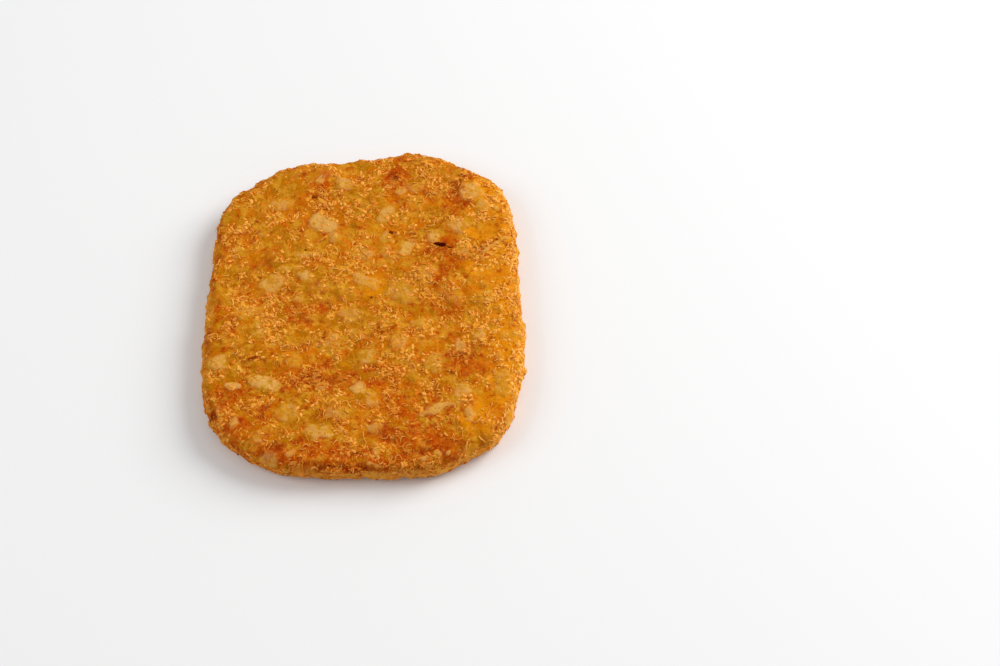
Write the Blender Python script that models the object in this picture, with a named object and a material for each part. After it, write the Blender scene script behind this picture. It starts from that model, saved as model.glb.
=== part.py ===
"""A fried potato pancake: a rounded square patty of pressed potato bits in a browned, crumbed crust.

The patty lies flat on z = 0, with the middle of its underside at the origin and its far edge
towards +Y. It is one closed body: a slab with a rounded rim, raised over each potato bit and
dented between them, with crumbs and short shreds fused to its crust. Lengths are in metres.
"""

import math
import random

import bmesh
import bpy
from mathutils import Matrix, Vector

MM = 0.001
SEED = 11

# The slab, before crumbs and bits add to it.
WIDTH = 99.4 * MM
DEPTH = 116.2 * MM
THICKNESS = 10.0 * MM
RIM = 4.6 * MM  # how far in from the outline the rim's curve reaches
RIM_POWER = 2.3  # 2 makes the rim an ellipse, and more makes it squarer
FAR_SLANT = 0.07  # the far edge leans away by this share, more towards +X
FAR_TAPER = 0.04  # the patty is this much narrower at its far edge, and wider at its near one
# How square each corner is, by whether it lies towards +X and +Y: 2 is an ellipse.
CORNER_POWERS = {(True, True): 3.7, (False, True): 4.0, (False, False): 3.5, (True, False): 3.3}
# Where the outline bulges, or is dented: the bearing in degrees from +X, how far out in millimetres,
# and how far round it reaches in degrees.
BULGES = (
    (8, -1.4, 11), (30, -0.6, 12), (58, -2.4, 9), (78, 1.0, 9), (93, 0.7, 9), (126, -1.7, 7),
    (142, 1.6, 11), (190, -0.9, 12), (236, -1.3, 10), (271, 0.9, 17), (303, -1.3, 9), (322, -0.7, 9),
)

# The grid that carries the surface: its cuts across each side, and where on it the rim's curve starts.
CUTS_ACROSS, CUTS_ALONG, CUTS_UP = 33, 38, 5
RIM_STARTS = 0.86

# Relief. A swell is a slow wave of the whole surface, and a bit is a raised lump of potato.
SWELLS = 5
SWELL_HEIGHT = 0.14 * MM
SWELL_LENGTHS = (22 * MM, 46 * MM)
BIT_HEIGHT = 0.75 * MM
BIT_DEPTH = 0.3 * MM  # how far the crust between the bits is dented
BIT_LENGTHS = (4.5 * MM, 8.5 * MM)
BIT_SLIMNESS = (0.55, 0.95)  # a bit's width as a share of its length
FACE_BITS, RIM_BITS = 90, 40
REST_SPOT = 12 * MM  # a round bit under the middle, which is pressed flat

# The large bits that stand out on the top, in millimetres: place along X and Y, length, width, and turn
# in degrees.
LARGE_BITS_MM = (
    (-14, 31, 9.5, 6.5, -25), (-10, 25.5, 5, 4, -40), (-28, 38.5, 8, 4.5, 10), (-8, 46.5, 7, 5, -30),
    (-40, 19.5, 6, 4, -10), (-29.5, 8, 8, 5.5, 35), (-24.5, 13, 8, 3.5, 15), (-18, 19, 8, 3.2, 5),
    (-1, 19.5, 7, 5, 15), (0, 8.5, 9, 5, -30), (11, 5, 9.5, 6.5, -20), (19.5, 13, 7, 5.5, -20),
    (29, 30, 6, 5, 10), (21, 25.5, 4.5, 3.5, 0), (-4, -4, 9, 5, 0), (6, -5.5, 6, 4.5, 80),
    (-2, -11, 8, 4, -10), (-36.5, -3, 9, 4, 20), (-29.5, -29, 9, 3.5, -15), (-40, -29.5, 5.5, 3.5, -10),
    (-1, -30, 5.5, 4.5, 30), (31, -31, 5.5, 5, 60), (22.5, -21.5, 7, 6, 50), (24, -37.5, 12, 3.2, 25),
    (-22, -39.5, 7.5, 7, -15), (-7, -39.5, 6.5, 5, 5), (-13, -46, 6.5, 5, 20), (33, -39, 6.5, 3.2, 90),
    (11, -14, 7.5, 4.5, 85), (-21, -21, 4.5, 3.2, 60), (36, -11, 5, 4, 20), (33, 44, 8, 6.5, -50),
)
FREE_OF_LARGE = 6.5 * MM  # no other bit's middle on the top lies nearer than this to a large one's

# The crumbs and shreds of crust that stand up from the surface.
FACE_CRUMBS, RIM_CRUMBS = 62, 34
CRUMB_LENGTHS = (2.0 * MM, 4.2 * MM)
CRUMB_WIDTH, CRUMB_HEIGHT = 1.8 * MM, 1.4 * MM
CRUMB_SUNK = 0.12 * MM  # how far a crumb's middle lies under the surface

CRUST_COLOUR = (0.55, 0.2, 0.02, 1.0)
CRUST_ROUGHNESS = 0.42


def outline_radius(angle):
    """How far the outline lies from its middle: a superellipse with its own power in each corner, and
    then its bulges and dents."""
    across, along = math.cos(angle), math.sin(angle)
    power = CORNER_POWERS[(across >= 0, along >= 0)]
    reach = (abs(across) * 2 / WIDTH) ** power + (abs(along) * 2 / DEPTH) ** power
    bulge = 0.0
    for bearing, out, spread in BULGES:
        turn = math.remainder(angle - math.radians(bearing), math.tau)
        bulge += out * MM * math.exp(-((turn / math.radians(spread)) ** 2))
    return reach ** (-1 / power) + bulge


def slab_point(angle, ring, height):
    """A point of the plain slab's surface.

    angle turns round the slab's middle. ring runs from 0 there to 1 at the rim, and height
    from 1 on the top, down the side, to -1 on the underside.
    """
    over = max(ring - RIM_STARTS, 0) / (1 - RIM_STARTS)
    slope = math.radians(height * (90 - 45 * over))
    radius = min(ring / RIM_STARTS, 1) * (outline_radius(angle) - RIM)
    radius += RIM * abs(math.cos(slope)) ** (2 / RIM_POWER)
    rise = math.copysign(abs(math.sin(slope)) ** (2 / RIM_POWER), slope)
    x, y = radius * math.cos(angle), radius * math.sin(angle)
    x *= 1 - FAR_TAPER * 2 * y / DEPTH
    y *= 1 + FAR_SLANT * 2 * x / WIDTH * (y > 0)
    return Vector((x, y, THICKNESS / 2 * (1 + rise)))


def scatter(draw, on_face, round_rim):
    """Places spread evenly over the top, the underside and the rim, each a point and a direction along it.

    On a face they follow a sunflower's spiral, and round the rim they are evenly spaced.
    """
    golden = math.pi * (3 - math.sqrt(5))
    for height in (1, -1):
        for i in range(on_face):
            angle = i * golden + draw.uniform(-0.35, 0.35)
            ring = 0.88 * math.sqrt((i + draw.uniform(0.2, 0.8)) / on_face)
            yield slab_point(angle, ring, height), across_slab(draw.uniform(0, math.pi), 0)
    for i in range(round_rim):
        angle = math.tau * (i + draw.uniform(0.1, 0.9)) / round_rim
        along_rim = angle + math.pi / 2
        yield slab_point(angle, 1, draw.uniform(-0.5, 0.9)), across_slab(along_rim, draw.uniform(-0.4, 0.4))


def across_slab(turn, climb):
    """The unit vector that points this way round the slab and climbs by this angle."""
    return Vector((math.cos(turn) * math.cos(climb), math.sin(turn) * math.cos(climb), math.sin(climb)))


def potato_bits(draw):
    """Each bit as its middle, its direction, half its length and half its width."""
    bits = [(Vector((0, 0, 0)), across_slab(0, 0), REST_SPOT / 2, REST_SPOT / 2)]
    for x, y, length, width, turn in LARGE_BITS_MM:
        middle = Vector((x * MM, y * MM, THICKNESS))
        bits.append((middle, across_slab(math.radians(turn), 0), length * MM / 2, width * MM / 2))
    large = [middle for middle, *_ in bits]
    for middle, direction in scatter(draw, FACE_BITS, RIM_BITS):
        length, slimness = draw.uniform(*BIT_LENGTHS), draw.uniform(*BIT_SLIMNESS)
        if min((middle - other).length for other in large) > FREE_OF_LARGE:
            bits.append((middle, direction, length / 2, length / 2 * slimness))
    return bits


def swells(draw):
    """Each slow wave as its wave vector and its phase."""
    waves = []
    for _ in range(SWELLS):
        length = draw.uniform(*SWELL_LENGTHS)
        waves.append((across_slab(draw.uniform(0, math.tau), 0.3) * math.tau / length, draw.uniform(0, math.tau)))
    return waves


def relief(point, bits, waves):
    """How far the crust stands out from the plain slab at this point."""
    raised = 0.0
    for middle, direction, half_length, half_width in bits:
        offset = point - middle
        along = offset.dot(direction)
        beside = offset.length_squared - along * along
        spread = (along / half_length) ** 2 + beside / half_width**2
        if spread < 1:
            raised = max(raised, 1 - spread * spread)
    swell = sum(math.sin(wave.dot(point) + phase) for wave, phase in waves)
    return raised * BIT_HEIGHT - BIT_DEPTH + swell * SWELL_HEIGHT


def subdivide_along(bm, axis, cuts):
    """Cuts every edge of the box that runs along this axis into equal lengths."""
    edges = [edge for edge in bm.edges if abs(edge.verts[0].co[axis] - edge.verts[1].co[axis]) > 1]
    bmesh.ops.subdivide_edges(bm, edges=edges, cuts=cuts, use_grid_fill=True)


def shape_slab(bm, bits, waves):
    """Moves the points of a cube of side 2 onto the slab, then raises and dents them by the relief."""
    for vert in bm.verts:
        u, v, height = vert.co
        vert.co = slab_point(math.atan2(v, u), max(abs(u), abs(v)), height)
    bm.normal_update()
    outward = [vert.normal.copy() for vert in bm.verts]
    for vert, normal in zip(bm.verts, outward):
        vert.co += normal * relief(vert.co, bits, waves)
        vert.co.z = max(vert.co.z, 0)  # the underside's high places are pressed flat


def make_slab(collection, bits, waves):
    bm = bmesh.new()
    bmesh.ops.create_cube(bm, size=2)
    subdivide_along(bm, 0, CUTS_ACROSS)
    subdivide_along(bm, 1, CUTS_ALONG)
    subdivide_along(bm, 2, CUTS_UP)
    shape_slab(bm, bits, waves)
    return finish_object("potato_pancake", bm, collection)


def make_crumbs(collection, draw, bits, waves):
    """Small squashed lumps, each lying along the surface with its lower part under it."""
    for middle, direction in scatter(draw, FACE_CRUMBS, RIM_CRUMBS):
        if middle.z < THICKNESS / 4:
            continue
        up = Vector((0, 0, 1)) if middle.z > 0.95 * THICKNESS else Vector((middle.x, middle.y, 0)).normalized()
        side = up.cross(direction).normalized()
        turn = Matrix((direction, side, direction.cross(side))).transposed().to_4x4()
        length = draw.uniform(*CRUMB_LENGTHS)
        size = Matrix.Diagonal((length / 2, CRUMB_WIDTH / 2, CRUMB_HEIGHT / 2, 1))
        place = Matrix.Translation(middle + up * (relief(middle, bits, waves) - CRUMB_SUNK))
        bm = bmesh.new()
        bmesh.ops.create_icosphere(bm, subdivisions=1, radius=1, matrix=place @ turn @ size)
        finish_object("crumb", bm, collection)


def finish_object(name, bm, collection):
    mesh = bpy.data.meshes.new(name)
    bm.to_mesh(mesh)
    bm.free()
    mesh.shade_smooth()
    obj = bpy.data.objects.new(name, mesh)
    collection.objects.link(obj)
    return obj


def fuse(obj, pieces):
    """Joins the collection's pieces to the object by one Boolean union, and removes them."""
    union = obj.modifiers.new("fuse", "BOOLEAN")
    union.operation = "UNION"
    union.operand_type = "COLLECTION"
    union.collection = pieces
    union.solver = "MANIFOLD"
    graph = bpy.context.evaluated_depsgraph_get()
    fused = bpy.data.meshes.new_from_object(obj.evaluated_get(graph))
    plain = obj.data
    obj.modifiers.clear()
    obj.data = fused
    bpy.data.meshes.remove(plain)
    fused.name = obj.name
    for piece in list(pieces.objects):
        bpy.data.meshes.remove(piece.data)
    bpy.data.collections.remove(pieces)


def stand_on_origin(mesh):
    """Moves the mesh so that the middle of its box's underside is at the origin."""
    corners = [[vert.co[axis] for vert in mesh.vertices] for axis in range(3)]
    middle = [(min(values) + max(values)) / 2 for values in corners]
    mesh.transform(Matrix.Translation((-middle[0], -middle[1], -min(corners[2]))))


def crust_material():
    material = bpy.data.materials.new("browned crust")
    material.use_nodes = True
    shader = material.node_tree.nodes["Principled BSDF"]
    shader.inputs["Base Color"].default_value = CRUST_COLOUR
    shader.inputs["Roughness"].default_value = CRUST_ROUGHNESS
    shader.inputs["Metallic"].default_value = 0.0
    return material


def new_collection(name):
    collection = bpy.data.collections.new(name)
    bpy.context.scene.collection.children.link(collection)
    return collection


def main():
    for obj in list(bpy.data.objects):
        bpy.data.objects.remove(obj)
    draw = random.Random(SEED)
    bits, waves = potato_bits(draw), swells(draw)
    patty = make_slab(new_collection("potato pancake"), bits, waves)
    crumbs = new_collection("crumbs")
    make_crumbs(crumbs, draw, bits, waves)
    fuse(patty, crumbs)
    stand_on_origin(patty.data)
    patty.data.materials.append(crust_material())


main()
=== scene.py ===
# %% [markdown]
# # A fried potato pancake
#
# The real one is a handful of cooked potato bits, pressed into a rounded square, dusted and fried
# until its crust is crumbed and golden. Its solid is packed already. This lesson gives it its looks:
# a fine surface over the same form, a finish, and the loose crumbs, shreds and burnt flecks on it.

import math
import random

import bpy
import numpy as np
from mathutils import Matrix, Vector


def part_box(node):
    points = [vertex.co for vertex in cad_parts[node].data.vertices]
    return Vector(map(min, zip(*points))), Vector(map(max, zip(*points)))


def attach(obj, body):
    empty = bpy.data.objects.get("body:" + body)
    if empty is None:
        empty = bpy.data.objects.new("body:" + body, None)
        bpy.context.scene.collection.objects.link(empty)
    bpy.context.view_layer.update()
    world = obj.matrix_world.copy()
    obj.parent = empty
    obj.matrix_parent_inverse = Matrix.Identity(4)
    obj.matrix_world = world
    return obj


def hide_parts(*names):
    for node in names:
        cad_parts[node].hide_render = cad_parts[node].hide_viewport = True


MM = 0.001
NODE = "potato_pancake"
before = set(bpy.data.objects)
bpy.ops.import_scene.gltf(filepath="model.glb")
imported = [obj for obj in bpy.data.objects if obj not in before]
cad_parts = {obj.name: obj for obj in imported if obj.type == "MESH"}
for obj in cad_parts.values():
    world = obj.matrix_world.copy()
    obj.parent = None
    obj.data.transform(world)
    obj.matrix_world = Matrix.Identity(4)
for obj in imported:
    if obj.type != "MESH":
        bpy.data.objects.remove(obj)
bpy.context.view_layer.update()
low, high = (np.array(corner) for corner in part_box(NODE))
print("solid in mm:", np.round((high - low) / MM, 1))

# %% [markdown]
# ## The plain slab
#
# A form that fills the same space as the solid starts from the same rule. The outline is a
# superellipse with its own power in each corner, bulged and dented a little, and the rim is a
# squarish quarter turn above the middle and another one below it. A function of two parameters is
# enough, so no modelling is needed.

# %% Sizes of the slab
WIDTH, DEPTH, THICKNESS = 99.4 * MM, 116.2 * MM, 10.0 * MM
RIM, RIM_POWER, RIM_STARTS = 4.6 * MM, 2.3, 0.86
FAR_SLANT, FAR_TAPER = 0.07, 0.04
FAR_RIGHT, FAR_LEFT, NEAR_LEFT, NEAR_RIGHT = 3.7, 4.0, 3.5, 3.3
# Bearing in degrees from +X, how far out in millimetres, and how far round it reaches in degrees.
BULGES = (
    (8, -1.4, 11), (30, -0.6, 12), (58, -2.4, 9), (78, 1.0, 9), (93, 0.7, 9), (126, -1.7, 7),
    (142, 1.6, 11), (190, -0.9, 12), (236, -1.3, 10), (271, 0.9, 17), (303, -1.3, 9), (322, -0.7, 9),
)


def outline_radius(angle):
    """(|cos a / half width|^p + |sin a / half depth|^p)^(-1/p), with p the power of the corner, plus
    out * exp(-(how far the angle lies from the bearing / span)^2) for each bulge."""
    across, along = np.cos(angle), np.sin(angle)
    far = np.where(across >= 0, FAR_RIGHT, FAR_LEFT)
    near = np.where(across >= 0, NEAR_RIGHT, NEAR_LEFT)
    power = np.where(along >= 0, far, near)
    reach = np.abs(across * 2 / WIDTH) ** power + np.abs(along * 2 / DEPTH) ** power
    radius = reach ** (-1 / power)
    for bearing, out, span in BULGES:
        turn = np.remainder(np.degrees(angle) - bearing + 180, 360) - 180
        radius = radius + out * MM * np.exp(-((turn / span) ** 2))
    return radius


def slab(angle, share, slope):
    """Points of the slab: share runs from 0 at the middle to 1 where the rim starts, and slope, in
    radians, turns over the rim from a quarter turn on the top to minus that on the underside.
    radius = share * (outline - rim) + rim * cos(slope)^(2/p), and height = thickness * (1 +
    sin(slope)^(2/p)) / 2. Then it is tapered towards the far edge, and the far half is slanted."""
    turned = np.abs(np.cos(slope)) ** (2 / RIM_POWER)
    radius = share * (outline_radius(angle) - RIM) + RIM * turned
    rise = np.sign(slope) * np.abs(np.sin(slope)) ** (2 / RIM_POWER)
    x, y = radius * np.cos(angle), radius * np.sin(angle)
    x = x * (1 - FAR_TAPER * 2 * y / DEPTH)
    y = y * (1 + FAR_SLANT * 2 * x / WIDTH * (y > 0))
    return np.stack([x, y, THICKNESS / 2 * (1 + rise)], axis=-1)


def slab_place(angle, ring, height):
    """A point of the slab as the solid counts it: ring from the middle to the rim, and height from
    1 on the top to -1 on the underside. A height of 1 is a slope of 90 degrees where the rim starts
    and of 45 on the outermost ring."""
    over = max(ring - RIM_STARTS, 0) / (1 - RIM_STARTS)
    slope = math.radians(height * (90 - 45 * over))
    return slab(np.float64(angle), min(ring / RIM_STARTS, 1), slope)


# %% [markdown]
# ## A closed sheet from two square grids
#
# A square grid lies on the top and another on the underside. Each square ring of a grid is pulled
# in to a rounded ring, and the outermost rings of both grids are the same points, so that the skin
# is closed without a seam. Half a millimetre from point to point carries every lump that shows.

# %% The grids
ACROSS, ALONG = 200, 226
v, u = np.meshgrid(np.linspace(-1, 1, ALONG + 1), np.linspace(-1, 1, ACROSS + 1), indexing="ij")
ring = np.maximum(np.abs(u), np.abs(v))
angle = np.arctan2(v, u)
share = np.minimum(ring / RIM_STARTS, 1)
quarter = math.pi / 2 * (1 - np.maximum(ring - RIM_STARTS, 0) / (1 - RIM_STARTS))
inner = ring < 1 - 1e-9

top_index = np.arange(ring.size).reshape(ring.shape)
under_index = top_index.copy()
under_index[inner] = ring.size + np.arange(inner.sum())


def quads(index):
    """The four corners of every cell of a grid of point numbers, in turn."""
    corners = [index[:-1, :-1], index[:-1, 1:], index[1:, 1:], index[1:, :-1]]
    return np.stack(corners, axis=-1).reshape(-1, 4)


top_points = slab(angle, share, quarter).reshape(-1, 3)
plain = np.concatenate([top_points, slab(angle, share, -quarter)[inner]])
cells = np.concatenate([quads(top_index), quads(under_index)[:, ::-1]])
print("patty:", len(plain), "points,", len(cells), "cells")


# %% Which way a surface faces
def outward(points, faces):
    """Unit normals at the points: the sum of the crossed diagonals of the faces that meet there."""
    a, b, c, d = (points[corner] for corner in faces.T)
    facing = np.cross(c - a, d - b)
    normals = np.zeros_like(points)
    for corner in faces.T:
        np.add.at(normals, corner, facing)
    return normals / np.linalg.norm(normals, axis=1, keepdims=True)


facing = outward(plain, cells)

# %% [markdown]
# ## Random heights in space
#
# A lump that wraps over the rim needs noise in space, not on a picture. A table of random numbers
# fills a cubic lattice, and each point takes a smooth blend of the eight numbers round it.

# %% Lattice noise
TURN = np.linalg.qr(np.array([[0.8, 0.5, 0.3], [-0.4, 0.9, 0.2], [0.1, -0.3, 0.7]]))[0]
LATTICE = 64


def noise(points, spacing, seed):
    """From -1 to 1: the random numbers at the corners of a point's lattice cell, weighted along each
    axis by 3 t^2 - 2 t^3. The lattice is turned, so that its rows don't follow the patty's sides."""
    cell = points @ TURN / spacing + LATTICE * 8
    corner = np.floor(cell).astype(int)
    blend = cell - corner
    blend = blend * blend * (3 - 2 * blend)
    table = np.random.default_rng(seed).uniform(-1, 1, (LATTICE, LATTICE, LATTICE))
    height = np.zeros(len(points))
    for step in np.ndindex(2, 2, 2):
        weight = np.where(step, blend, 1 - blend).prod(axis=1)
        i, j, k = ((corner + step) % LATTICE).T
        height += weight * table[i, j, k]
    return height


def smooth(values, start, end):
    """0 up to start and 1 from end on, with 3 t^2 - 2 t^3 between them."""
    t = np.clip((values - start) / (end - start), 0, 1)
    return t * t * (3 - 2 * t)


print("noise over 20 mm:", np.round(noise(plain[:3], 20 * MM, 1), 2))

# %% [markdown]
# ## Potato bits
#
# Cooked bits of potato lie in the crust like stones in a path: pale, smooth and a little raised. The
# large ones are where they show on the real one. The rest are spread evenly over both faces, on a
# sunflower's spiral, and round the rim, by the same seeded draws as in the solid.

# %% Where the bits lie
SEED = 11
FACE_BITS, RIM_BITS = 90, 40
BIT_LENGTHS, BIT_SLIMNESS = (4.5 * MM, 8.5 * MM), (0.55, 0.95)
REST_SPOT = 12 * MM  # a round bit under the middle, which is pressed flat
FREE_OF_LARGE = 6.5 * MM  # how far from the middle of a large bit the others stay
EDGE_SHOWS = 1.15  # a large bit shows through the crust a little past its edge
# Place along X and Y, length and width in millimetres, turn in degrees, and how clearly it shows. The
# solid has the same ones, but the one at (-29.5, -29) is 9 by 3.5 there, and none is drawn larger.
LARGE_BITS_MM = (
    (-14, 31, 9.5, 6.5, -25, 0.9), (-10, 25.5, 5, 4, -40, 0.7), (-28, 38.5, 8, 4.5, 10, 0.6),
    (-8, 46.5, 7, 5, -30, 0.7), (-40, 19.5, 6, 4, -10, 0.6), (-29.5, 8, 8, 5.5, 35, 0.75),
    (-24.5, 13, 8, 3.5, 15, 0.65), (-18, 19, 8, 3.2, 5, 0.8), (-1, 19.5, 7, 5, 15, 0.65),
    (0, 8.5, 9, 5, -30, 0.7), (11, 5, 9.5, 6.5, -20, 0.6), (19.5, 13, 7, 5.5, -20, 0.6),
    (29, 30, 6, 5, 10, 0.7), (21, 25.5, 4.5, 3.5, 0, 0.8), (-4, -4, 9, 5, 0, 0.6),
    (6, -5.5, 6, 4.5, 80, 0.45), (-2, -11, 8, 4, -10, 0.6), (-36.5, -3, 9, 4, 20, 0.6),
    (-29.5, -29, 9.5, 5, -15, 0.95), (-40, -29.5, 5.5, 3.5, -10, 0.9), (-1, -30, 5.5, 4.5, 30, 0.9),
    (31, -31, 5.5, 5, 60, 0.75), (22.5, -21.5, 7, 6, 50, 0.6), (24, -37.5, 12, 3.2, 25, 0.8),
    (-22, -39.5, 7.5, 7, -15, 0.6), (-7, -39.5, 6.5, 5, 5, 0.6), (-13, -46, 6.5, 5, 20, 0.75),
    (33, -39, 6.5, 3.2, 90, 0.75), (11, -14, 7.5, 4.5, 85, 0.6), (-21, -21, 4.5, 3.2, 60, 0.6),
    (36, -11, 5, 4, 20, 0.7), (33, 44, 8, 6.5, -50, 0.8),
)
# The same five numbers for small pale lumps that only the looks have, most of them near the edge.
SMALL_LUMPS_MM = (
    (18.7, -54.9, 4.6, 2.6, 5), (23.4, -53.6, 3, 2, 0), (26.5, -53.5, 2.6, 2, 30),
    (-20.8, -53.2, 3.6, 2.8, 20), (-13.5, -45.1, 4.5, 2.2, -20), (-8.9, -47.2, 5, 2, 15),
    (-37.9, -42.7, 4.6, 3.8, 70), (21, 27.5, 3, 2.6, 0), (41, 37, 4, 3, -60),
    (-44.5, 3, 3, 2.2, 90), (4, -58, 5, 2.4, 0), (-6, -57.5, 4, 2, 0), (-18.5, 10.5, 7, 4.5, -20),
    (37.5, 20.9, 4, 1.8, 35), (40.5, 22.9, 4, 1.8, 35), (43.5, 24.8, 4, 1.8, 30),
    (46.2, 26.2, 3, 1.8, 25),
)


# %% Spots and where they are scattered
GOLDEN_ANGLE = math.pi * (3 - math.sqrt(5))
FACE_REACH = 0.88  # how far out the spiral on a face goes, as a share of the way


def heading(turn, climb):
    """The unit vector that turns this far round the slab and climbs by this angle."""
    level = math.cos(climb)
    return np.array([math.cos(turn) * level, math.sin(turn) * level, math.sin(climb)])


def top_spot(row_mm, larger=1.0):
    """The spot on the top that the first five numbers of a row state, as its middle, its direction,
    half its length and half its width."""
    x, y, length, width, turn = row_mm[:5]
    middle = np.array([x * MM, y * MM, THICKNESS])
    half_length, half_width = length * MM / 2 * larger, width * MM / 2 * larger
    return middle, heading(math.radians(turn), 0), half_length, half_width


def scatter(draw, on_face, round_rim):
    """Places over the top, the underside and the rim: on a face the angle grows by the golden angle
    and the ring by the square root of the count, and round the rim the angle grows evenly. Each is
    moved a little at random, and has a direction along the surface."""
    for height in (1, -1):
        for i in range(on_face):
            turn = i * GOLDEN_ANGLE + draw.uniform(-0.35, 0.35)
            out = FACE_REACH * math.sqrt((i + draw.uniform(0.2, 0.8)) / on_face)
            yield slab_place(turn, out, height), heading(draw.uniform(0, math.pi), 0)
    for i in range(round_rim):
        turn = math.tau * (i + draw.uniform(0.1, 0.9)) / round_rim
        place = slab_place(turn, 1, draw.uniform(-0.5, 0.9))
        yield place, heading(turn + math.pi / 2, draw.uniform(-0.4, 0.4))


# %% The bits
draw = random.Random(SEED)
bits = [(np.zeros(3), heading(0, 0), REST_SPOT / 2, REST_SPOT / 2)]
bits += [top_spot(row, EDGE_SHOWS) for row in LARGE_BITS_MM]
large = np.array([middle for middle, *_ in bits])
for middle, direction in scatter(draw, FACE_BITS, RIM_BITS):
    length, slimness = draw.uniform(*BIT_LENGTHS), draw.uniform(*BIT_SLIMNESS)
    if np.linalg.norm(large - middle, axis=1).min() > FREE_OF_LARGE:
        bits.append((middle, direction, length / 2, length / 2 * slimness))
bits += [top_spot(row) for row in SMALL_LUMPS_MM]
print("potato bits:", len(bits))

# %% The slow swells of the slab, drawn next
SWELLS, SWELL_HEIGHT, SWELL_LENGTHS = 5, 0.14 * MM, (22 * MM, 46 * MM)
SWELL_CLIMB = 0.3
swell = np.zeros(len(plain))
for _ in range(SWELLS):
    length = draw.uniform(*SWELL_LENGTHS)
    wave = heading(draw.uniform(0, math.tau), SWELL_CLIMB) * math.tau / length
    swell += SWELL_HEIGHT * np.sin(plain @ wave + draw.uniform(0, math.tau))

# %% Lumps of crust, where the solid has its crumbs: none of them low down
FACE_LUMPS, RIM_LUMPS = 62, 34
LUMP_LENGTHS, LUMP_WIDTH = (2.0 * MM, 4.2 * MM), 1.8 * MM
lumps = []
for middle, direction in scatter(draw, FACE_LUMPS, RIM_LUMPS):
    if middle[2] >= THICKNESS / 4:
        lumps.append((middle, direction, draw.uniform(*LUMP_LENGTHS) / 2, LUMP_WIDTH / 2))
print("lumps of crust:", len(lumps))


# %% How far a place lies inside a spot
WIDE_FRAY, NARROW_FRAY, NARROW_SHARE = 3.2 * MM, 1.3 * MM, 0.35


def spread(points, spot):
    """(distance along the spot / its half length)^2 + (distance beside it / its half width)^2, so 1
    on the spot's edge."""
    middle, direction, half_length, half_width = spot
    offset = points - middle
    along = offset @ direction
    beside = (offset * offset).sum(axis=1) - along * along
    return (along / half_length) ** 2 + beside / half_width**2


def wobbled(points, seed):
    """The points moved along each axis by a millimetre * (wide noise + NARROW_SHARE * narrow noise),
    which frays the edges of spots there."""
    moves = []
    for axis in range(3):
        wide = noise(points, WIDE_FRAY, seed + axis)
        narrow = noise(points, NARROW_FRAY, seed + 3 + axis)
        moves.append(wide + NARROW_SHARE * narrow)
    return points + MM * np.stack(moves, axis=-1)


def domes(points, spots):
    """The highest dome, 1 - spread^2, of the spots that reach each point, and that spot's number."""
    top, owner = np.zeros(len(points)), np.zeros(len(points), dtype=int)
    for number, spot in enumerate(spots):
        dome = 1 - spread(points, spot) ** 2
        owner[dome > top] = number
        top = np.maximum(top, dome)
    return top, owner


# %% Which bit each point belongs to, and how clearly it shows
frayed = wobbled(plain, 20)
raised, owner = domes(frayed, bits)
lumped, _ = domes(frayed, lumps)
GOLDEN_SHARE = 0.618  # steps by this share spread the tones evenly
FAINTEST, TONE_RANGE, LUMP_TONE = 0.2, 0.6, 0.8
bit_tones = FAINTEST + TONE_RANGE * (np.arange(len(bits)) * GOLDEN_SHARE % 1)
bit_tones[1:len(LARGE_BITS_MM) + 1] = [row[5] for row in LARGE_BITS_MM]
bit_tones[-len(SMALL_LUMPS_MM):] = LUMP_TONE
tone = np.where(raised > 0, bit_tones[owner], 0)
print("share of the crust that is potato:", round(float((raised > 0.2).mean()), 2))

# %% [markdown]
# ## Browned places
#
# Hot fat browns the crust along the edge of the top, in the cracks between bits, and in patches. The
# strongest patches are listed, and noise makes the rest.

# %% How strongly a place is marked
FULL_WITHIN, GONE_AT = 0.2, 2.3  # as values of spread


def marked(rows_mm):
    """The strongest mark at each point. A row holds the five numbers of a spot and its strength. The
    mark is the strength where spread is below FULL_WITHIN, and fades smoothly to nothing at GONE_AT."""
    mark = np.zeros(len(frayed))
    for row in rows_mm:
        inside = smooth(spread(frayed, top_spot(row)), GONE_AT, FULL_WITHIN)
        mark = np.maximum(mark, row[5] * inside)
    return mark


# %% Where it is browned
BROWNED_MM = (
    (8, 49.3, 6, 3.6, 80, 1.0), (28, 45, 12, 3.2, 80, 1.0), (30, 50.2, 5, 2.4, 10, 0.9),
    (30, 39.4, 4, 2, -20, 0.8), (15, 56, 12, 1.6, 0, 0.8), (-14, 42, 6, 4, 20, 0.8),
    (-4, 44, 4, 2.5, 40, 0.6), (-23, 50, 9, 3, 10, 0.6), (-31, 16, 5, 3, 45, 0.8),
    (-21, -5.5, 10, 5, 20, 0.45), (8, 27, 4, 2.5, 0, 0.7), (24, 22, 7, 3, -10, 0.8),
    (44, 22.6, 4, 2, -45, 0.9), (36, 21.5, 6, 2, 25, 0.7), (26, 0, 10, 7, -60, 0.6),
    (31, -17.5, 11, 6, 30, 0.8), (-9.5, -27.5, 8, 3.5, 0, 0.9), (-16.8, -27, 9, 5, 20, 0.9),
    (8, -45.5, 10, 6, -20, 0.9), (20.3, -52.2, 13, 2.6, 0, 1.0), (28.5, -49.8, 6, 3, -10, 0.7),
    (31, -52.4, 5, 1.8, 0, 0.8), (-40.7, -43.9, 3.2, 2.2, 60, 1.0), (-29.5, -38.8, 9, 1.7, 52, 0.9),
    (-19.4, -50, 3, 2.4, 0, 1.0), (-25.8, -51.5, 7, 3.4, 20, 1.0), (-14.7, -53.1, 4, 2, 0, 0.9),
    (-3.5, -54.5, 12, 2.2, 0, 0.8), (-40.5, -8, 7, 4, 70, 0.6), (-12.5, -12.3, 6, 3, 0, 0.6),
    (-34, -20.5, 6, 2, 25, 0.6), (2, -22, 15, 3.5, 10, 0.5), (-20, -15, 13, 3, 15, 0.5),
)
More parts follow.
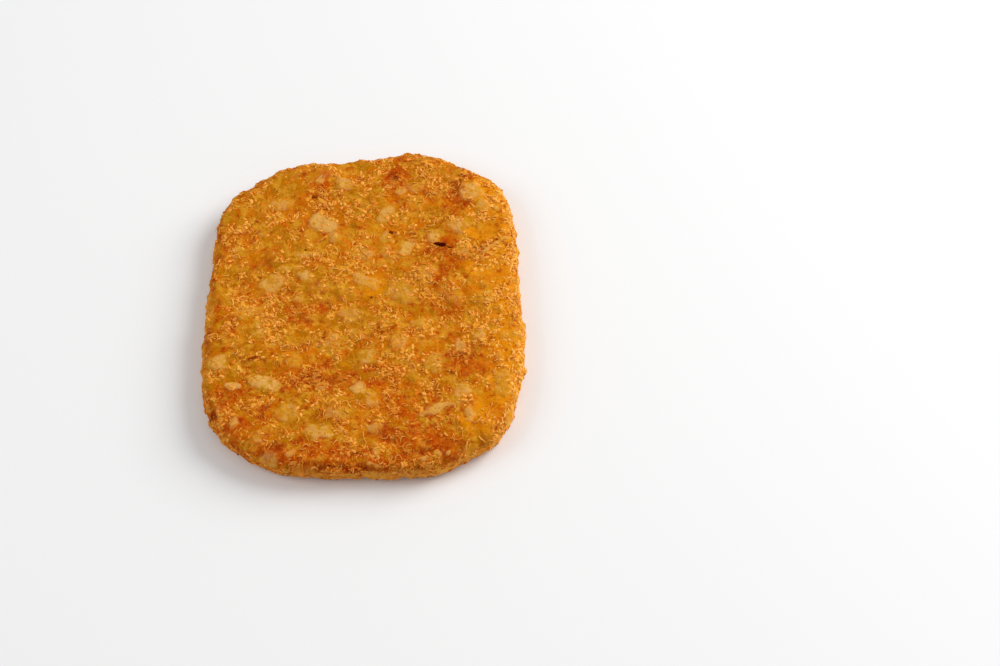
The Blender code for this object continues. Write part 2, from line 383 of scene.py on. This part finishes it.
# How far above level, in degrees, the brownest part of the rim faces, and how wide that part is.
RIM_ANGLE, RIM_SPAN = 48, 24
SHADED_WAY = heading(math.radians(245), 0)

above_level = np.degrees(np.arcsin(np.clip(facing[:, 2], -1, 1)))
edge_of_top = np.exp(-(((above_level - RIM_ANGLE) / RIM_SPAN) ** 2))
edge_of_top *= smooth(noise(frayed, 7 * MM, 35), -0.7, 0.4)
patches = smooth(noise(frayed, 11 * MM, 31) + 0.6 * noise(frayed, 4.5 * MM, 32), 0.0, 0.9)
cracks = smooth(1 - 5 * np.abs(noise(frayed, 3.4 * MM, 33)), 0.1, 0.8)
cracks *= smooth(noise(frayed, 9 * MM, 34), -0.2, 0.5)
brown = np.maximum(0.45 * edge_of_top + 0.33 * patches + 0.5 * cracks, 0.9 * marked(BROWNED_MM))
# Painted shade: the side facing the near left, away from the window, is darkened as if browned.
near_side_shade = smooth(facing @ SHADED_WAY, 0.35, 0.85) * smooth(noise(frayed, 5 * MM, 37), -0.6, 0.3)
brown += 0.5 * near_side_shade
brown = np.clip(brown * (1 - 0.65 * smooth(raised * tone, 0.1, 0.6)), 0, 1)
print("mean browning:", round(float(brown.mean()), 2))

# %% Where it is ruddy: fried longer, in broad patches and towards the near edge, which is partly painted shade
RUDDY_MM = (
    (-15.5, 45, 13, 7, 90, 0.9), (9, 50, 13, 8, 90, 1.0), (29, 43, 15, 7, 75, 0.9),
    (-31.5, 17.5, 9, 7, 0, 0.6), (25, 19, 17, 12, -60, 0.8), (35.5, 19, 9, 8, 0, 0.6),
    (24, 2, 26, 9, 100, 0.55), (32, -20, 15, 12, -60, 0.7), (-17, -3.5, 18, 9, 10, 0.6),
    (-44, -4.5, 10, 6, 90, 0.5), (-14.5, -27, 34, 9, 0, 0.9), (6, -26, 12, 9, 0, 0.7),
    (14, -42, 26, 20, 20, 0.75), (20, -51, 26, 10, 5, 0.9), (-37, -41, 24, 16, -40, 0.9),
    (-10, -55, 60, 10, 0, 1.0),
)
ruddy = np.maximum(0.4 * smooth(-frayed[:, 1], 34 * MM, 52 * MM), marked(RUDDY_MM))

# %% Where the crust is clear yellow: thin in a few spots, and towards the right as painted light
GLASSY_MM = (
    (35, 44, 11, 8, -50, 1.0), (39, -38, 22, 13, 60, 0.75), (-38, -42.7, 6, 5, 60, 1.0),
    (2, 7, 26, 16, 20, 0.2),
)
right_painted_light = smooth(frayed[:, 0] + 0.1 * frayed[:, 1], 26 * MM, 45 * MM)
yellowed = 0.6 * smooth(noise(frayed, 6 * MM, 36), 0.35, 0.8)
glassy = np.maximum(0.85 * right_painted_light, marked(GLASSY_MM)) + yellowed

# %% Painted light on the side: paler below its middle, as if lit from the floor, and most at the near right
HIGHLIGHT_WAY = heading(math.radians(-40), 0)
pale_side = smooth(-above_level, -35, 5) * (0.25 + 0.75 * smooth(facing @ HIGHLIGHT_WAY, 0.2, 0.8))

# %% [markdown]
# ## Relief
#
# The relief is of the solid's own kind: slow swells, a rise over each bit and a dent between them.
# Over the bits it is only about half as high as in the solid, because fat has rounded everything off.
# The crust adds low, soft unevenness, less of it over a bit. Its lumps stand up from that, and its
# cracks go down into it. The skin is then fitted to the solid's box.

# %% Heights over the slab
BIT_HEIGHT, BIT_DEPTH = 0.4 * MM, 0.18 * MM
LUMP_HEIGHT = 0.45 * MM
CRACK_DEPTH = 0.35 * MM
UNEVEN = 0.28 * MM

uneven = noise(plain, 2.7 * MM, 41) + 0.7 * noise(plain, 1.5 * MM, 42)
uneven += 0.45 * noise(plain, 0.9 * MM, 43)
bare = smooth(raised, 0.15, 0.6) * smooth(tone, 0.2, 0.9)
height = swell + BIT_HEIGHT * smooth(raised, 0, 1) - BIT_DEPTH
rougher = 1 + 0.8 * smooth(np.abs(above_level), 70, 35)
height += UNEVEN * uneven * rougher * (1 - 0.5 * bare) + LUMP_HEIGHT * lumped
height -= CRACK_DEPTH * smooth(brown, 0.3, 1.0)
skin = plain + facing * height[:, None]
skin[:, 2] = np.maximum(skin[:, 2], 0)

MARGIN = 0.3 * MM  # room inside the solid's box for the crumbs that stand proud
inside_low, inside_high = low + [MARGIN, MARGIN, 0], high - MARGIN
skin = (skin - skin.min(axis=0)) / np.ptp(skin, axis=0) * (inside_high - inside_low) + inside_low
normals = outward(skin, cells)
print("skin in mm:", np.round(np.ptp(skin, axis=0) / MM, 1))


# %% Where the crumbs lie thick: in clusters, and less on bits
clusters = smooth(noise(frayed, 4.5 * MM, 51) + 0.8 * noise(frayed, 2.0 * MM, 52), -0.2, 0.8)
crumbed = 0.08 + 1.1 * clusters + 0.2 * brown + 0.25 * ruddy * clusters
# Towards the right, which is painted lighter, there are more crumbs and more pale painted threads.
crumbed += 0.25 * right_painted_light
crumbed += 0.5 * smooth(facing[:, 0], 0.2, 0.7)
crumbed *= 1 - 0.78 * bare
crumbed *= (1 - 0.7 * smooth(brown, 0.7, 1.0)) * (1 - 0.6 * marked(GLASSY_MM))


# %% A piece of the patty
def make_piece(name, points, faces, finish, **fields):
    """A smooth mesh object with these points and faces, riding on the patty's body, with each field
    stored as a number at every point."""
    mesh = bpy.data.meshes.new(name)
    mesh.from_pydata(points.tolist(), [], faces)
    for field, values in fields.items():
        stored = mesh.attributes.new(field, "FLOAT", "POINT").data
        stored.foreach_set("value", values.astype(np.float32))
    mesh.shade_smooth()
    mesh.materials.append(finish)
    piece = bpy.data.objects.new(name, mesh)
    bpy.context.scene.collection.objects.link(piece)
    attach(piece, "root")
    print(name, len(faces), "faces")
    return piece


# %% [markdown]
# ## Writing a finish as sums
#
# A finish is mostly masks, and masks are sums and products. A small class stands for a socket, so
# that `mask * 2 - 1` adds the Math nodes by itself. Every other node comes from its one method.


# %% A socket that can be calculated with
class Shade:
    """An output socket in a material's nodes. Arithmetic on it adds Math nodes."""

    def __init__(self, tree, socket=None):
        self.tree, self.socket = tree, socket

    def node(self, kind, settings=None, inputs=None, output=0):
        """Adds a node: its settings first, then the values or links of its sockets."""
        made = self.tree.nodes.new(kind)
        for name, value in (settings or {}).items():
            setattr(made, name, value)
        for name, value in (inputs or {}).items():
            if isinstance(value, Shade):
                self.tree.links.new(value.socket, made.inputs[name])
            else:
                made.inputs[name].default_value = value
        return Shade(self.tree, made.outputs[output])

    def math(self, operation, *values):
        """One Math node. The reflected forms below make 1 - mask and 2 * mask work too."""
        return self.node("ShaderNodeMath", {"operation": operation}, dict(enumerate(values)))

    def __add__(self, other):
        return self.math("ADD", self, other)

    def __sub__(self, other):
        return self.math("SUBTRACT", self, other)

    def __rsub__(self, other):
        return self.math("SUBTRACT", other, self)

    def __mul__(self, other):
        return self.math("MULTIPLY", self, other)

    __radd__, __rmul__ = __add__, __mul__

    def step(self, start, end):
        """0 up to start and 1 from end on, smoothly between."""
        inputs = {"Value": self, "From Min": start, "From Max": end}
        return self.node("ShaderNodeMapRange", {"interpolation_type": "SMOOTHSTEP"}, inputs)

    def mix(self, below, above):
        """The colour below where this is 0 and the one above where it is 1."""
        colours = {6: below, 7: above}
        for key, value in colours.items():
            colours[key] = value if isinstance(value, Shade) else (*value, 1)
        return self.node("ShaderNodeMix", {"data_type": "RGBA"}, {0: self, **colours}, output=2)

    def field(self, name):
        """The number that the mesh stores at every point under this name."""
        return self.node("ShaderNodeAttribute", {"attribute_name": name}, output="Fac")

    def grain(self, place, size, detail=2.0):
        """Noise from about 0 to 1 with features of this size."""
        inputs = {"Vector": place, "Scale": 1 / size, "Detail": detail, "Roughness": 0.6}
        return self.node("ShaderNodeTexNoise", {}, inputs)

    def curls(self, place, size, thin=0.03):
        """Thin curly lines, where noise of this size crosses its middle, broken up into short ones."""
        middle = self.grain(place, size, 1.0) - 0.5
        line = 1 - self.math("ABSOLUTE", middle).step(thin, thin * 3)
        return line * self.grain(place, size * 0.8, 1.0).step(0.47, 0.55)


# %% Colours, and the start and end of every finish
def srgb(red, green, blue):
    """A colour as a picture states it, from 0 to 255, turned to light: ((c + 0.055) / 1.055)^2.4, or
    c / 12.92 for the darkest."""
    light = []
    for c in (red / 255, green / 255, blue / 255):
        light.append(c / 12.92 if c < 0.04 else ((c + 0.055) / 1.055) ** 2.4)
    return tuple(light)


def start_finish(name):
    """A new material, its first wire, and places in the patty's own space."""
    material = bpy.data.materials.new(name)
    material.use_nodes = True
    first = Shade(material.node_tree)
    return material, first, first.node("ShaderNodeTexCoord", output="Object")


def plug(material, **sockets):
    """Links wires to a shader's sockets and sets the plain values: Base_Color means Base Color."""
    inputs = material.node_tree.nodes["Principled BSDF"].inputs
    for name, value in sockets.items():
        socket = inputs[name.replace("_", " ")]
        if isinstance(value, Shade):
            material.node_tree.links.new(value.socket, socket)
        else:
            socket.default_value = value


# %% [markdown]
# ## The crust
#
# Fried starch is a glassy amber, more olive where it is thin and more orange where fat has
# collected, and all of it lets light in. Potato bits show through as soft pale blots, and the most
# fried places are red-brown. Every border is blurred, because a layer of crust lies over it.

# %% Colours of the crust
OLIVE, AMBER, ORANGE = srgb(175, 107, 0), srgb(200, 108, 0), srgb(184, 75, 0)
POTATO, POTATO_PALE = srgb(204, 142, 28), srgb(222, 169, 88)
# The clear yellow also stands for painted light on the right, and the pale side colour is painted light
# on the side.
GLASSY_AND_LIT, CRUMB_PALE, SIDE_PAINTED_LIGHT = srgb(230, 142, 0), srgb(240, 164, 54), srgb(240, 166, 64)
GRIT = srgb(230, 148, 34)
RED_BROWN, DARK_BROWN = srgb(156, 50, 0), srgb(112, 20, 0)
LET_IN = (1.0, 0.4, 0.08)  # how far red, green and blue light travel inside, beside each other

# %% What the crust reads: its fields, and noise of several sizes
crust, first, place = start_finish("crust")
bit, bit_tone, browned = first.field("bit"), first.field("tone"), first.field("brown")
crumbed_here, ruddy_here = first.field("crumbed").step(0.1, 1.0), first.field("ruddy")
glassy_here = first.field("glassy")
fine, small = first.grain(place, 1.3 * MM), first.grain(place, 0.6 * MM, 1.0)
medium, broad = first.grain(place, 4.0 * MM), first.grain(place, 13 * MM)
blots, gaps = first.grain(place, 3.4 * MM, 3.0), first.grain(place, 2.6 * MM, 2.0)
flakes = first.grain(place, 1.8 * MM, 2.0)

# %% Fried starch: olive, amber and orange, clear yellow where it is thin and as painted light on the right, and pale blots
colour = (broad * 0.5 + medium * 0.5).step(0.42, 0.58).mix(OLIVE, AMBER)
colour = (gaps * 0.6 + medium * 0.4 + ruddy_here * 0.19).step(0.51, 0.71).mix(colour, ORANGE)
# More orange under the crumbs: painted warm shade, like the colour of the shadows between crumbs.
colour = (crumbed_here * 0.15).mix(colour, ORANGE)
# Clear yellow where the crust is thin, and towards the right-hand side as painted light.
thin = ((1 - medium) * 0.8 + glassy_here * 0.5 - ruddy_here * 0.3).step(0.45, 1.0)
colour = (thin * 0.8).mix(colour, GLASSY_AND_LIT)
blotted = (blots + fine * 0.3 - ruddy_here * 0.08 - glassy_here * 0.1 - 0.13).step(0.49, 0.62)
colour = (blotted * 0.8).mix(colour, POTATO)

# %% Potato bits, then the red-brown and dark places between them, and painted light on the side
bit_mask = (bit + fine * 1.5 - 0.65).step(-0.1, 1.25) * bit_tone
bit_colour = (fine + medium + bit_tone * 0.5 - 0.87).step(0.3, 0.65).mix(POTATO, POTATO_PALE)
colour = (bit_mask * (small * 0.4 + fine * 0.3 + 0.72)).mix(colour, bit_colour)
between = (gaps * 0.6 + fine * 0.4).step(0.54, 0.67)
colour = (between * (ruddy_here * 0.3 + 0.62 - bit_mask * 0.6)).mix(colour, RED_BROWN)
# Red-brown and dark brown where the crust is browned, and on the side facing the near left, where it is
# painted shade.
colour = ((browned + medium * 1.2 + fine * 0.5 - 0.95).step(-0.05, 0.8) * 0.7).mix(colour, RED_BROWN)
colour = ((browned + fine * 0.6 - 0.3).step(0.7, 1.15) * 0.8).mix(colour, DARK_BROWN)
# Paler on the side below its middle and most of all at the near right: painted light.
side_light_mask = (first.field("pale_side") + blots * 1.4 + fine * 0.8 - 1.1).step(0.1, 1.0)
colour = (side_light_mask * 0.6).mix(colour, SIDE_PAINTED_LIGHT)

# %% Crumbs that are too fine to be meshes: flakes, curly threads and grit
flaked = (flakes * 0.7 + small * 0.3).step(0.5, 0.64) * (1 - bit_mask * 0.5)
long_curls, short_curls = first.curls(place, 2.6 * MM), first.curls(place, 1.7 * MM)
threads = first.math("MAXIMUM", long_curls, short_curls * 0.8)
threads = threads * first.field("crumbed").step(0.1, 0.9)
threads = first.math("MAXIMUM", threads, flaked * (crumbed_here * 0.15 + 0.33))
colour = (threads * (0.85 - browned.step(0.6, 1.0) * 0.5)).mix(colour, CRUMB_PALE)
grit = first.grain(place, 0.8 * MM, 1.0).step(0.5, 0.66) * (0.22 - bit_mask * 0.14)
colour = grit.mix(colour, GRIT)

# %% Relief and gloss of the crust, and the patty itself
relief = fine * 0.8 + small * 0.15 + threads * 0.7 + grit * 0.4
bump = {"Strength": 0.9, "Distance": 0.4 * MM, "Height": relief}
plug(crust, Base_Color=colour, Normal=first.node("ShaderNodeBump", {}, bump, "Normal"))
plug(crust, Roughness=0.55 - bit_mask * 0.1, Specular_IOR_Level=0.03)
plug(crust, Subsurface_Weight=0.4, Subsurface_Radius=LET_IN, Subsurface_Scale=0.7 * MM)
plug(crust, Coat_Weight=(small + fine - 1.0).step(0.1, 0.3) * 0.06, Coat_Roughness=0.25)

patty = make_piece("patty", skin, cells.tolist(), crust, bit=raised, tone=tone, brown=brown,
                   glassy=glassy, crumbed=crumbed, ruddy=ruddy, pale_side=pale_side)
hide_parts(NODE)

# %% [markdown]
# ## Loose crumbs
#
# The coating's crumbs lie on the skin in small clumps. Each is a tiny pod: a shape of two parameters,
# along it and round it, with so few faces that thousands of them cost little. They are sown like
# seed, a few to a clump, at random but thicker where the coating is thick, and each keeps a colour of
# its own.


# %% Sowing
CLUMP_SPREAD = 1.3  # in cells of the skin's grid


def sow(count, thickness, clump_size, seed):
    """Random places on the skin. A cell is drawn in proportion to its area times the mean thickness
    at its corners. Each draw serves a clump of places, which spread to the cells beside it, so that
    all lie on the skin, and a place in its cell is a random blend of the corners. Gives the places,
    the way out, the way along, and a function that reads any field of the skin there."""
    rng = np.random.default_rng(seed)
    clump = np.arange(count) // clump_size
    a, b, c, d = (skin[corner] for corner in cells.T)
    area = np.linalg.norm(np.cross(c - a, d - b), axis=1)
    chance = np.cumsum(area * thickness[cells].mean(axis=1))
    drawn = np.searchsorted(chance, rng.random(count) * chance[-1])[clump]
    reach = CLUMP_SPREAD if clump_size > 1 else 0
    aside, onward = rng.normal(0, reach, (2, count)).round().astype(int)
    faces = cells[np.clip(drawn + aside + onward * ACROSS, 0, len(cells) - 1)]
    s, t = rng.random((2, count))
    blend = np.stack([(1 - s) * (1 - t), s * (1 - t), s * t, (1 - s) * t])

    def read(field):
        return sum(share * field[corner] for share, corner in zip(blend, faces.T))

    places = np.stack([read(skin[:, axis]) for axis in range(3)], axis=-1)
    up = np.stack([read(normals[:, axis]) for axis in range(3)], axis=-1)
    up /= np.linalg.norm(up, axis=1, keepdims=True)
    along = np.cross(up, rng.normal(size=(count, 3)))
    along /= np.linalg.norm(along, axis=1, keepdims=True)
    return places, up, along, read, rng


# %% The faces of pods
def pod_faces(count, around, rings):
    """The faces of so many pods, whose points are the start, then ring after ring, then the end."""
    each = around * rings + 2
    ring, turned = np.arange(around), np.roll(np.arange(around), -1)
    start = np.stack([np.zeros(around, int), 1 + turned, 1 + ring], axis=-1)
    final = 1 + (rings - 1) * around
    end = np.stack([final + ring, final + turned, np.full(around, each - 1)], axis=-1)
    wall = [np.stack([k + ring, k + turned, k + around + turned, k + around + ring], axis=-1)
            for k in range(1, final, around)]
    first_point = np.arange(count)[:, None, None] * each
    faces = []
    for part in [start, end, *wall]:
        faces += (first_point + part).reshape(-1, part.shape[-1]).tolist()
    return faces


# %% The points of pods
LUMPINESS = 0.35


def pods(places, up, along, sizes, shape, bend, rng):
    """Many pods at once, each as long, wide and high as its row of sizes says, with as many points
    round it and rings along it as the shape says. With t from 0 to 1 along a pod and a round it, a
    point is its middle - along * cos(pi t) * length / 2 + r * (side * cos(a) * width / 2 + up *
    sin(a) * height / 2), with r = sqrt(sin(pi t)) times a random factor from 1 - LUMPINESS to
    1 + LUMPINESS. The middle is moved by bend * length / 2 * (sin(pi t)^2 - 1/2) upwards, and to the
    side by bend * length / 2 * sin(2 pi t + phase). Both ends are closed to a point, and a pod that
    would leave the solid's box is moved back into it. Gives the points, the faces, how many points
    each pod has, and how far up its pod each point lies, from -1 to 1."""
    around, rings = shape
    count, side = len(places), np.cross(up, along)
    t = np.arange(rings + 2) / (rings + 1)
    a = np.arange(around) / around * math.tau
    length, width, height = (sizes[:, axis, None, None, None] / 2 for axis in range(3))
    frame_along, frame_side, frame_up = (way[:, None, None, :] for way in (along, side, up))
    thick = np.sqrt(np.clip(np.sin(math.pi * t), 0, 1))[None, :, None]
    thick = thick * rng.uniform(1 - LUMPINESS, 1 + LUMPINESS, (count, rings + 2, around))
    across = (thick * np.cos(a))[..., None] * width
    above = (thick * np.sin(a))[..., None] * height
    phase = rng.uniform(0, math.tau, (count, 1, 1, 1))
    t_grid = t[None, :, None, None]
    across = across + bend[:, None, None, None] * length * np.sin(math.tau * t_grid + phase)
    above = above + bend[:, None, None, None] * length * (np.sin(math.pi * t_grid) ** 2 - 0.5)
    grid = places[:, None, None, :] - frame_along * np.cos(math.pi * t_grid) * length
    grid = grid + frame_side * across + frame_up * above
    ends = grid[:, [0, -1]].mean(axis=2)
    points = np.concatenate([ends[:, :1], grid[:, 1:-1].reshape(count, -1, 3), ends[:, 1:]], axis=1)
    rise = np.broadcast_to(np.sin(a), (count, rings, around)).reshape(count, -1)
    rise = np.pad(rise, ((0, 0), (1, 1))).ravel()
    points += np.clip(low - points.min(axis=1, keepdims=True), 0, None)
    points -= np.clip(points.max(axis=1, keepdims=True) - high, 0, None)
    return points.reshape(-1, 3), pod_faces(count, around, rings), points.shape[1], rise


# %% The finish of the crumbs
def crumb_finish(name, dark, pale):
    """From dark to pale by each crumb's own tone, and paler towards its top, a painted highlight.
    Redder where the crust is browned, and on the side facing the near left, where that browning is
    painted shade."""
    material, first, place = start_finish(name)
    speckle = first.grain(place, 0.5 * MM)
    # The rise makes each crumb paler on top and darker below: painted highlight and shade.
    paleness = first.field("tone") + first.field("rise") * 0.35 + speckle * 0.5 - 0.4
    colour = paleness.step(0.0, 1.0).mix(dark, pale)
    colour = (first.field("brown") * 0.3).mix(colour, RED_BROWN)
    relief = {"Strength": 0.4, "Distance": 0.1 * MM, "Height": speckle}
    plug(material, Base_Color=colour, Roughness=0.6 - speckle * 0.2, Specular_IOR_Level=0.03)
    plug(material, Subsurface_Weight=0.4, Subsurface_Radius=LET_IN, Subsurface_Scale=0.15 * MM)
    plug(material, Normal=first.node("ShaderNodeBump", {}, relief, "Normal"))
    return material


crumb = crumb_finish("crumbs", srgb(214, 114, 4), srgb(252, 175, 76))
shred = crumb_finish("shreds", srgb(238, 146, 36), srgb(255, 187, 94))

# %% Which crumbs lie on top, round the side, and underneath where it doesn't touch the ground
OFF_GROUND = 0.3 * MM  # where the skin is this high, crumbs lie under it in full
level = normals[:, 2]
on_top = crumbed * smooth(level, 0.3, 0.7)
round_side = (crumbed + 0.2) * smooth(np.abs(level), 0.9, 0.6)
underneath = crumbed * smooth(-level, 0.6, 0.9) * smooth(skin[:, 2], 0, OFF_GROUND)


# %% A piece made of scraps
STOUTEST = 0.85  # a scrap's width at the most, as a share of its length
FLATNESS = (0.28, 0.55)  # its height, as a share of its width
TILT = 0.25  # how far it points up or down, beside 1 along the skin


def scraps(name, finish, count, thickness, clump_size, seed, lengths, widths, shape, bend=0):
    """Pods between the two lengths and widths, short ones more often: length = shortest + (longest
    - shortest) * random^2. They are tilted, and bent by up to this much. A bent one is lifted by up
    to bend * length / 4, which is how far below its place its ends lie, so that they stay in the
    skin."""
    places, up, along, read, rng = sow(count, thickness, clump_size, seed)
    shortest, longest = lengths
    length = shortest + (longest - shortest) * rng.random(count) ** 2
    width = np.minimum(rng.uniform(*widths, count), length * STOUTEST)
    tilted = along + up * rng.uniform(-TILT, TILT, (count, 1))
    tilted /= np.linalg.norm(tilted, axis=1, keepdims=True)
    over = np.cross(tilted, np.cross(up, tilted))
    sizes = np.stack([length, width, width * rng.uniform(*FLATNESS, count)], axis=-1)
    bends = rng.uniform(bend / 3, bend, count)
    places = places + up * (bends * length / 4 * rng.random(count))[:, None]
    points, faces, each, rise = pods(places, over, tilted, sizes, shape, bends, rng)
    # Crumbs are paler towards the right, as painted light, and darker where the crust is ruddy.
    tones = rng.normal(0.5, 0.33, count) + 0.4 * read(right_painted_light) - 0.2 * read(ruddy)
    tones = np.clip(tones, 0, 1)
    browns = np.clip(read(brown) + 0.5 * read(ruddy), 0, 1)
    tones, browns = np.repeat(tones, each), np.repeat(browns, each)
    return make_piece(name, points, faces, finish, tone=tones, brown=browns, rise=rise)


# %% Crumbs and curls, with a shape's points round it and rings along it
DOTS = dict(lengths=(0.6 * MM, 2.2 * MM), widths=(0.45 * MM, 1.05 * MM), shape=(6, 3))
CURLS = dict(lengths=(0.9 * MM, 2.8 * MM), widths=(0.3 * MM, 0.55 * MM), shape=(4, 4))
scraps("crumbs_on_top", crumb, 2700, on_top, clump_size=3, seed=61, **DOTS)
scraps("curls_on_top", crumb, 700, on_top, clump_size=3, seed=62, bend=0.5, **CURLS)
scraps("crumbs_round_side", crumb, 1900, round_side, clump_size=3, seed=63, **DOTS)
scraps("curls_round_side", crumb, 450, round_side, clump_size=3, seed=64, bend=0.4, **CURLS)
scraps("crumbs_underneath", crumb, 2600, underneath, clump_size=4, seed=65, **DOTS)

# %% [markdown]
# ## Shreds
#
# Thin shreds of fried batter arch up from the crust, about a third of a millimetre wide and flatter
# than that. They are longer pods, bent along their length and sown one by one. Most lie in tangles,
# and towards the near right corner, where the browned places have more of them too.

# %% Shreds
tangles = smooth(noise(plain, 7 * MM, 71) + 0.6 * noise(plain, 2.5 * MM, 72), 0.1, 0.9)
to_corner = smooth(plain[:, 0] - plain[:, 1], -20 * MM, 60 * MM)
tangled = (0.04 + tangles * (0.25 + 0.75 * to_corner) + 0.4 * brown * to_corner) * (1 - 0.7 * bare)
top_tangles = tangled * smooth(level, 0.2, 0.6)
side_tangles = tangled * smooth(np.abs(level), 0.9, 0.5)
THREADS = dict(lengths=(1.2 * MM, 3.4 * MM), widths=(0.26 * MM, 0.42 * MM), shape=(4, 7))
scraps("shreds_on_top", shred, 320, top_tangles, clump_size=1, seed=73, bend=0.55, **THREADS)
scraps("shreds_round_side", shred, 120, side_tangles, clump_size=1, seed=74, bend=0.4, **THREADS)

# %% [markdown]
# ## Burnt flecks
#
# A few scraps have burnt almost black. They lie flat, where the real one has them.

# %% Flecks
# Place along X and Y, length and width in millimetres, turn in degrees, and how far it is from black.
FLECKS_MM = (
    (22.4, 23.2, 2.2, 1.1, -8, 0.2), (24.0, 22.8, 2.5, 1.6, -3, 0.0),
    (26.5, 21.9, 2.2, 0.6, -15, 0.5), (7.7, 27.5, 1.5, 1.0, 0, 0.45),
    (-17.2, 41.6, 1.9, 1.1, 5, 0.6), (2.1, 2.7, 0.8, 0.65, 40, 0.5),
    (-19.2, 20.4, 0.8, 0.6, 0, 0.6), (-33.8, -19.8, 3.0, 0.7, 25, 0.7),
    (-12.2, -11.8, 1.3, 0.6, 30, 0.9), (41.3, 25, 0.9, 0.7, 20, 0.8),
)
FLECK_HEIGHT, FLECK_LIFT, FLECK_SHAPE = 0.6 * MM, 0.15 * MM, (7, 5)

flecks = np.array(FLECKS_MM)
x, y, long, wide = (flecks[:, :4] * MM).T
turn, paleness = np.radians(flecks[:, 4]), flecks[:, 5]
none = np.zeros(len(flecks))
# A place on the underside counts as a metre further off, so that it is never the nearest.
underside = plain[:, 2:] < THICKNESS / 2
nearest = np.argmin(np.hypot(plain[:, :1] - x, plain[:, 1:2] - y) + underside, axis=0)
out = normals[nearest]
places = skin[nearest] + np.stack([x, y, none], axis=-1) - plain[nearest] * [1, 1, 0]
places = places + out * FLECK_LIFT
along = np.stack([np.cos(turn), np.sin(turn), none], axis=-1)
sizes = np.stack([long, wide, np.full(len(flecks), FLECK_HEIGHT)], axis=-1)
rng = np.random.default_rng(81)
points, faces, each, _ = pods(places, out, along, sizes, FLECK_SHAPE, none, rng)

# %% The finish of the flecks
burnt, first, place = start_finish("burnt")
char = (first.field("tone") + first.grain(place, 0.5 * MM) * 0.5 - 0.25).step(0, 1)
plug(burnt, Base_Color=char.mix(srgb(66, 8, 0), srgb(160, 74, 8)), Roughness=0.8 - char * 0.2)
plug(burnt, Specular_IOR_Level=0.02)
make_piece("burnt_flecks", points, faces, burnt, tone=np.repeat(paleness, each))

# %% [markdown]
# ## The floor, the light and the camera
#
# A pale floor, a broad soft light from the right and behind, and a weaker one from the left. The
# camera stands where the photograph's stood, seen from the patty as if it lay flat.

# %% Floor
REACH = 3.0  # metres
corners = [(-REACH, -REACH, 0), (REACH, -REACH, 0), (REACH, REACH, 0), (-REACH, REACH, 0)]
floor_mesh = bpy.data.meshes.new("floor")
floor_mesh.from_pydata(corners, [], [(0, 1, 2, 3)])
floor = bpy.data.objects.new("floor", floor_mesh)
bpy.context.scene.collection.objects.link(floor)
pale, *_ = start_finish("pale_floor")
plug(pale, Base_Color=(0.86, 0.86, 0.86, 1), Roughness=0.6, Specular_IOR_Level=0.2)
floor_mesh.materials.append(pale)


# %% Lights
def soft_light(name, place, size, watts):
    """A round lamp at this place, which shines at the patty."""
    light = bpy.data.lights.new(name, "AREA")
    light.shape, light.size, light.energy = "DISK", size, watts
    lamp = bpy.data.objects.new(name, light)
    bpy.context.scene.collection.objects.link(lamp)
    lamp.location = place
    lamp.rotation_euler = (-Vector(place)).to_track_quat("-Z", "Y").to_euler()


soft_light("window", (1.0, 0.5, 0.75), 1.0, 17)
soft_light("reflector", (-0.9, -0.2, 0.8), 0.9, 4)

SKY = 0.45
world = bpy.data.worlds.new("studio")
bpy.context.scene.world = world
world.use_nodes = True
background = world.node_tree.nodes["Background"].inputs
background["Color"].default_value = (1, 1, 1, 1)
background["Strength"].default_value = SKY

# %% Camera
ELEVATION = math.radians(57.0)
camera_data = bpy.data.cameras.new("camera")
camera_data.lens, camera_data.sensor_width = 86.4, 36.0
camera = bpy.data.objects.new("camera", camera_data)
bpy.context.scene.collection.objects.link(camera)
camera.location = (42.0 * MM, -414.1 * MM, 629.4 * MM)
camera.rotation_euler = (math.pi / 2 - ELEVATION, 0, 0)
bpy.context.scene.camera = camera
bpy.context.scene.view_settings.view_transform = "Standard"
